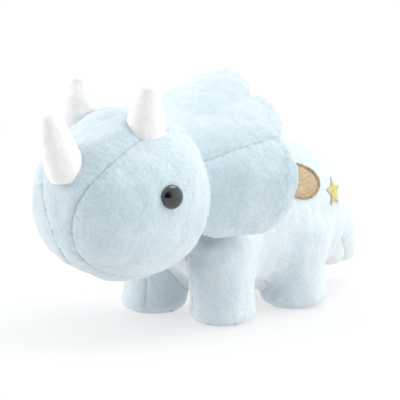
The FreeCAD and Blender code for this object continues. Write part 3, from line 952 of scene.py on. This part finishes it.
def sew_on(name, nodes, gap_of, centre, reach, height_of, material, body, side=1, step=0.4):
    """A flat shape laid on the body's side: gap_of says how far inside its outline a point is."""
    count = int(2 * reach / step) + 1
    ys = centre[0] + np.linspace(-reach, reach, count)
    zs = centre[1] + np.linspace(-reach, reach, count)
    y, z = (grid.ravel() for grid in np.meshgrid(ys, zs, indexing="ij"))
    index = np.arange(count * count).reshape(count, count)
    a, b = index[:-1, :-1].ravel(), index[1:, :-1].ravel()
    c, d = index[1:, 1:].ravel(), index[:-1, 1:].ravel()
    triangles = np.vstack([np.stack([a, b, c], 1), np.stack([a, c, d], 1)])
    points = np.stack([0 * y, y, z], axis=1)
    marks = np.zeros(len(triangles), int)
    points, triangles, marks, inside = cut(points, triangles, marks, gap_of(points[:, 1], points[:, 2]))
    triangles = triangles[inside]
    used, flat = np.unique(triangles, return_inverse=True)
    points, triangles = points[used], flat.reshape(-1, 3)
    laid, normals = [], []
    for _, py, pz in points:
        hit, normal, _, _ = body.ray_cast(Vector((side * 200.0, py, pz)), Vector((-side, 0, 0)))
        laid.append(hit)
        normals.append(normal)
    laid, normals = np.array(laid), np.array(normals)
    for _ in range(2):
        normals = relax(normals, triangles, 3)
    normals /= np.linalg.norm(normals, axis=1)[:, None]
    height = height_of(points[:, 1], points[:, 2])
    laid = laid + normals * height[:, None]
    shade = normals_of(laid, triangles)
    if (shade * normals).sum() < 0:
        triangles = triangles[:, ::-1]
        shade = -shade
    piece = make_piece(name, laid, triangles, material, None, 1.0, shade)
    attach(piece, "torso")
    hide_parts(*nodes)


def build_trims(points, triangles):
    """An oval patch with a stitched border on each flank, and a star on the left hip."""
    body = BVHTree.FromPolygons(points.tolist(), triangles.tolist())
    y0, z0 = PATCH[:2]

    def satin_height(y, z):
        return 0.5 + 0.35 * np.clip(oval_gap(y, z) / 3, 0, 1) + 0.04 * np.cos(z * 9)

    def border_gap(y, z):
        gap = oval_gap(y, z)
        return np.minimum(gap + 1.7, 0.5 - gap)

    def border_height(y, z):
        turn = np.arctan2(z - z0, y - y0)
        ridge = 0.5 + 0.5 * np.cos(turn * 120)
        round_top = np.sqrt(np.clip(border_gap(y, z) / 1.1, 0, 1))
        return 0.55 + 0.75 * round_top + 0.12 * ridge

    def star_height(y, z):
        round_top = np.sqrt(np.clip(star_gap(y, z) / 1.6, 0, 1))
        return 0.5 + 0.6 * round_top + 0.1 * np.cos((y + z) * 8)

    for side, word in ((1, "left"), (-1, "right")):
        sew_on(
            "satin_patch_" + word, ["patch_" + word], oval_gap, (y0, z0), 19, satin_height, TAN,
            body, side, 0.6,
        )
        sew_on(
            "stitched_border_" + word, ["patch_border_" + word], border_gap, (y0, z0), 20, border_height,
            BROWN, body, side, 0.3,
        )
    sew_on(
        "embroidered_star", ["hip_star"], star_gap, STAR[:2], 11.5, star_height, YELLOW,
        body, 1, 0.35,
    )


# ---- Stage --------------------------------------------------------------------------------------
def build_stage():
    """A pale floor that fades to white, soft studio light and the camera."""
    floor = bmesh.new()
    bmesh.ops.create_circle(floor, cap_ends=True, segments=96, radius=12.0)
    mesh = bpy.data.meshes.new("floor")
    floor.to_mesh(mesh)
    floor.free()
    plate = bpy.data.objects.new("floor", mesh)
    bpy.context.collection.objects.link(plate)
    material, nodes, links, shader = new_material("floor", 0.6)
    shader.inputs["Base Color"].default_value = (0.74, 0.74, 0.74, 1)
    glow = nodes.new("ShaderNodeEmission")
    glow.inputs["Color"].default_value = (1, 1, 1, 1)
    glow.inputs["Strength"].default_value = 1.02
    place = nodes.new("ShaderNodeTexCoord")
    length = nodes.new("ShaderNodeVectorMath")
    length.operation = "LENGTH"
    links.new(place.outputs["Object"], length.inputs[0])
    fade = nodes.new("ShaderNodeMapRange")
    fade.interpolation_type = "SMOOTHSTEP"
    fade.inputs["From Min"].default_value = 0.25
    fade.inputs["From Max"].default_value = 0.9
    fade.inputs["To Min"].default_value = 0.55
    links.new(length.outputs["Value"], fade.inputs["Value"])
    blend = nodes.new("ShaderNodeMixShader")
    links.new(fade.outputs["Result"], blend.inputs["Fac"])
    links.new(shader.outputs["BSDF"], blend.inputs[1])
    links.new(glow.outputs["Emission"], blend.inputs[2])
    links.new(blend.outputs["Shader"], nodes["Material Output"].inputs["Surface"])
    mesh.materials.append(material)

    world = bpy.data.worlds.new("studio")
    world.use_nodes = True
    nodes, links = world.node_tree.nodes, world.node_tree.links
    place = nodes.new("ShaderNodeTexCoord")
    facing = nodes.new("ShaderNodeVectorMath")
    facing.operation = "DOT_PRODUCT"
    facing.inputs[1].default_value = (math.sin(VIEW_AZIMUTH), -math.cos(VIEW_AZIMUTH), 0)
    links.new(place.outputs["Generated"], facing.inputs[0])
    dim = nodes.new("ShaderNodeMapRange")
    dim.interpolation_type = "SMOOTHSTEP"
    dim.inputs["From Min"].default_value = 0.45
    dim.inputs["From Max"].default_value = 0.95
    dim.inputs["To Min"].default_value = 1.2
    dim.inputs["To Max"].default_value = 0.0
    links.new(facing.outputs["Value"], dim.inputs["Value"])
    links.new(dim.outputs["Result"], nodes["Background"].inputs["Strength"])
    nodes["Background"].inputs["Color"].default_value = (0.92, 0.98, 1, 1)
    scene = bpy.context.scene
    scene.world = world
    scene.view_settings.view_transform = "Standard"

    def lamp(name, place, target, size, power, glossy=True):
        data = bpy.data.lights.new(name, "AREA")
        data.shape = "DISK"
        data.size = size
        data.energy = power
        data.color = LAMP_COLOR
        light = bpy.data.objects.new(name, data)
        light.location = place
        light.visible_glossy = glossy
        light.rotation_euler = (Vector(target) - Vector(place)).to_track_quat("-Z", "Y").to_euler()
        bpy.context.collection.objects.link(light)

    lamp("top", (0.3, 0.45, 1.3), (0, 0, 0.05), 1.0, 6.5)
    lamp("side", (1.4, 0.55, 0.6), (0, 0, 0.07), 0.9, 5.5, glossy=False)
    lamp("rim", (-1.25, -0.75, 0.35), (0, 0, 0.06), 0.7, 10)
    lamp("fill", (1.4, -0.2, 0.1), (0, 0, 0.03), 0.7, 5, glossy=False)

    level = math.cos(VIEW_ELEVATION)
    back = Vector(
        (math.sin(VIEW_AZIMUTH) * level, -math.cos(VIEW_AZIMUTH) * level, math.sin(VIEW_ELEVATION))
    )
    right = Vector((math.cos(VIEW_AZIMUTH), math.sin(VIEW_AZIMUTH), 0))
    aim = right * AIM_ACROSS + Vector((0, 0, AIM_UP))
    data = bpy.data.cameras.new("camera")
    data.sensor_width = 36
    data.lens = data.sensor_width * VIEW_DISTANCE / VIEW_WIDTH
    data.clip_end = 50
    camera = bpy.data.objects.new("camera", data)
    camera.location = aim + back * VIEW_DISTANCE
    camera.rotation_euler = (-back).to_track_quat("-Z", "Y").to_euler()
    bpy.context.collection.objects.link(camera)
    scene.camera = camera


def dress_washers():
    """The plain plastic washers inside the cheeks keep the CAD's own meshes."""
    washer, nodes, links, shader = new_material("washer_plastic", 0.5)
    stops = [(0.3, (0.7, 0.7, 0.68)), (0.8, (0.85, 0.85, 0.83))]
    tone = ramp_node(nodes, links, noise_node(nodes, links, 200), stops)
    links.new(tone, shader.inputs["Base Color"])
    for name in ("eye_washer_left", "eye_washer_right"):
        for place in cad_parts[name].material_slots:
            place.material = washer


build_stage()
build_head()
body_points, body_triangles = build_body()
build_frill()
build_horns()
build_eyes()
build_neck()
build_trims(body_points, body_triangles)
dress_washers()
